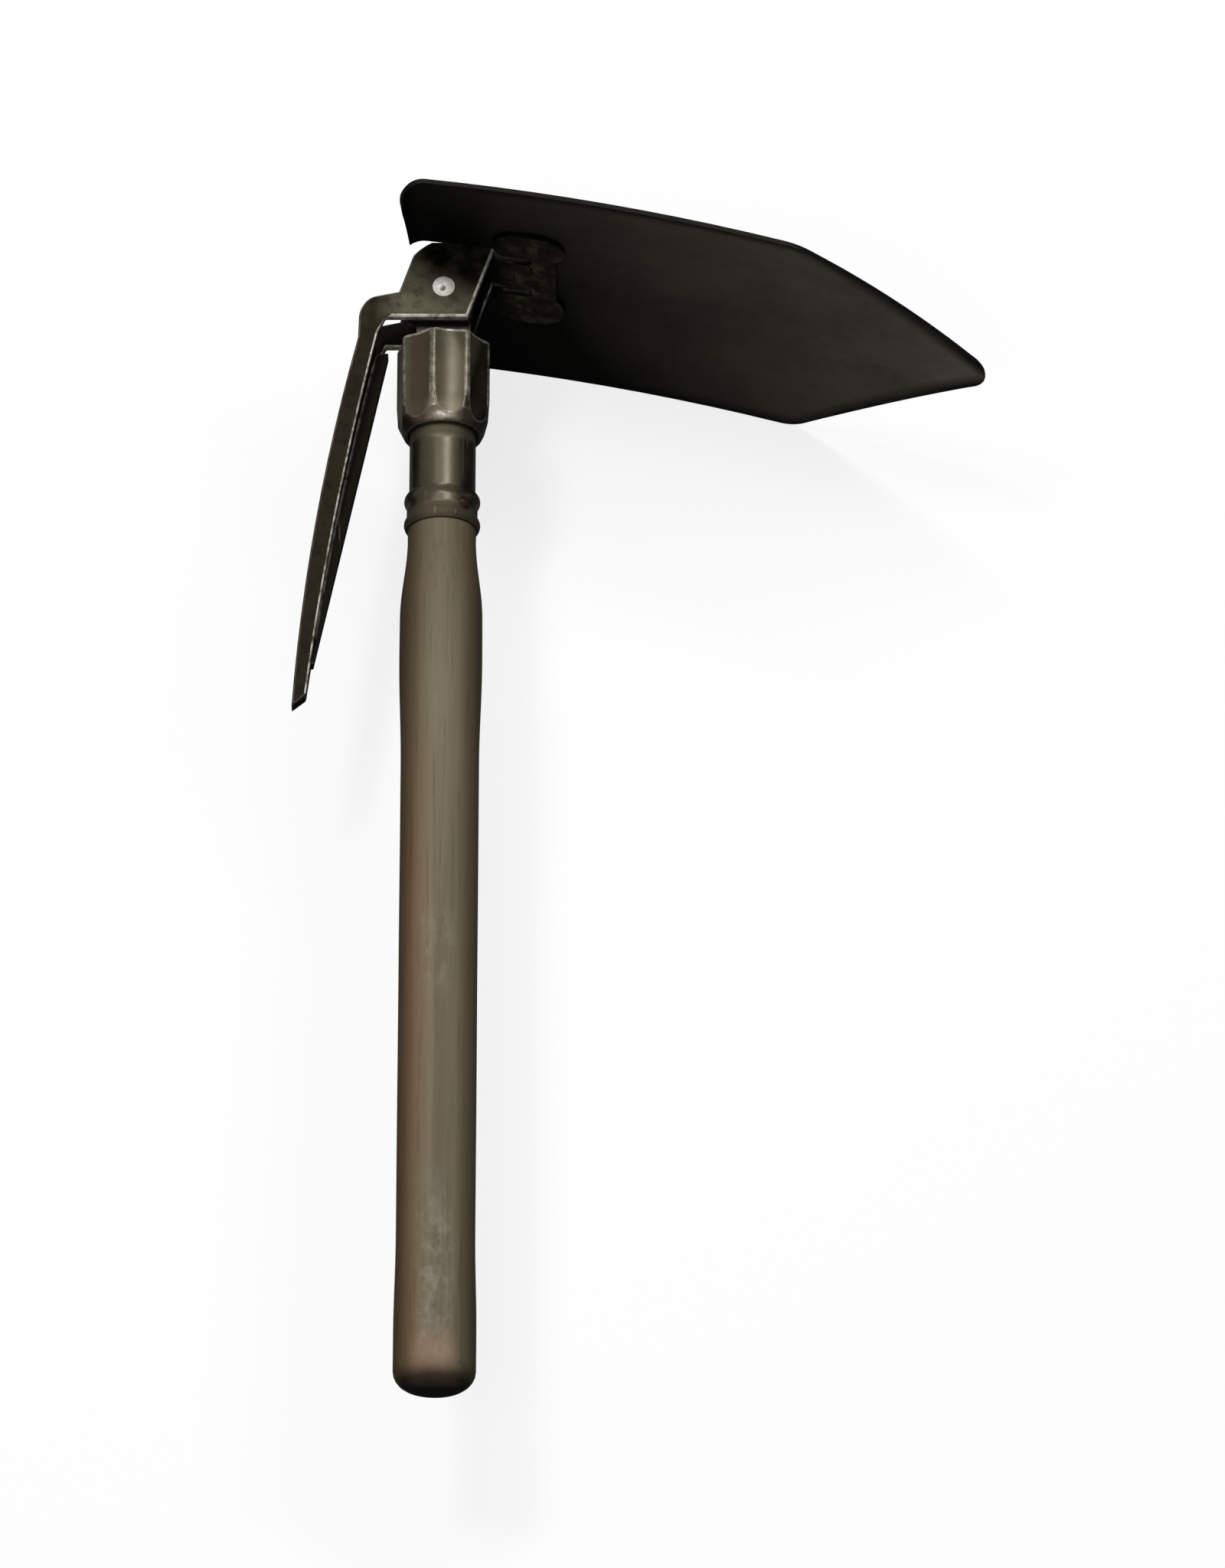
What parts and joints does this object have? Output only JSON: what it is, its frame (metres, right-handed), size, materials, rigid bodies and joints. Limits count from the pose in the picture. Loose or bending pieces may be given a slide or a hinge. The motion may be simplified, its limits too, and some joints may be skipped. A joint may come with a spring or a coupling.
{
  "type": "folding camp shovel",
  "caption": "Folding camp shovel: wooden handle, steel ferrule, pointed dished blade and pick on one hinge rivet, locked by a fluted screw collar.",
  "frame": {"origin": "centre of the handle's butt end", "axes": "+Y along the handle to the head, +X the side the blade points to, +Z along the hinge rivet"},
  "size_m": [0.2798, 0.5025, 0.156],
  "materials": {
    "handle_wood": "olive-stained, satin",
    "olive_paint": "worn satin",
    "pick_paint": "worn satin",
    "black_paint": "satin",
    "dark_steel": "dull",
    "bare_steel": "worn bright"
  },
  "bodies": {
    "handle": {"wooden_handle": "handle_wood", "ferrule": "olive_paint", "ferrule_rivet": "olive_paint", "hinge_post": "dark_steel", "post_pin": "bare_steel", "pivot_rivet": "bare_steel"},
    "collar": {"locking_collar": "olive_paint"},
    "blade": {"blade_plate": "black_paint", "blade_bracket": "black_paint", "bracket_rivets": "black_paint"},
    "pick": {"pick_head": "pick_paint"}
  },
  "joints": [
    {"name": "blade_fold", "type": "hinge", "parent": "handle", "child": "blade", "pos_m": [0, 0.48, 0], "axis": [0, 0, 1], "range_deg": [-75, 101.5]},
    {"name": "pick_fold", "type": "hinge", "parent": "handle", "child": "pick", "pos_m": [0, 0.48, 0], "axis": [0, 0, -1], "range_deg": [0, 71.2]},
    {"name": "collar_travel", "type": "slide", "parent": "handle", "child": "collar", "axis": [0, 1, 0], "range_m": [-0.02, 0.006]}
  ]
}
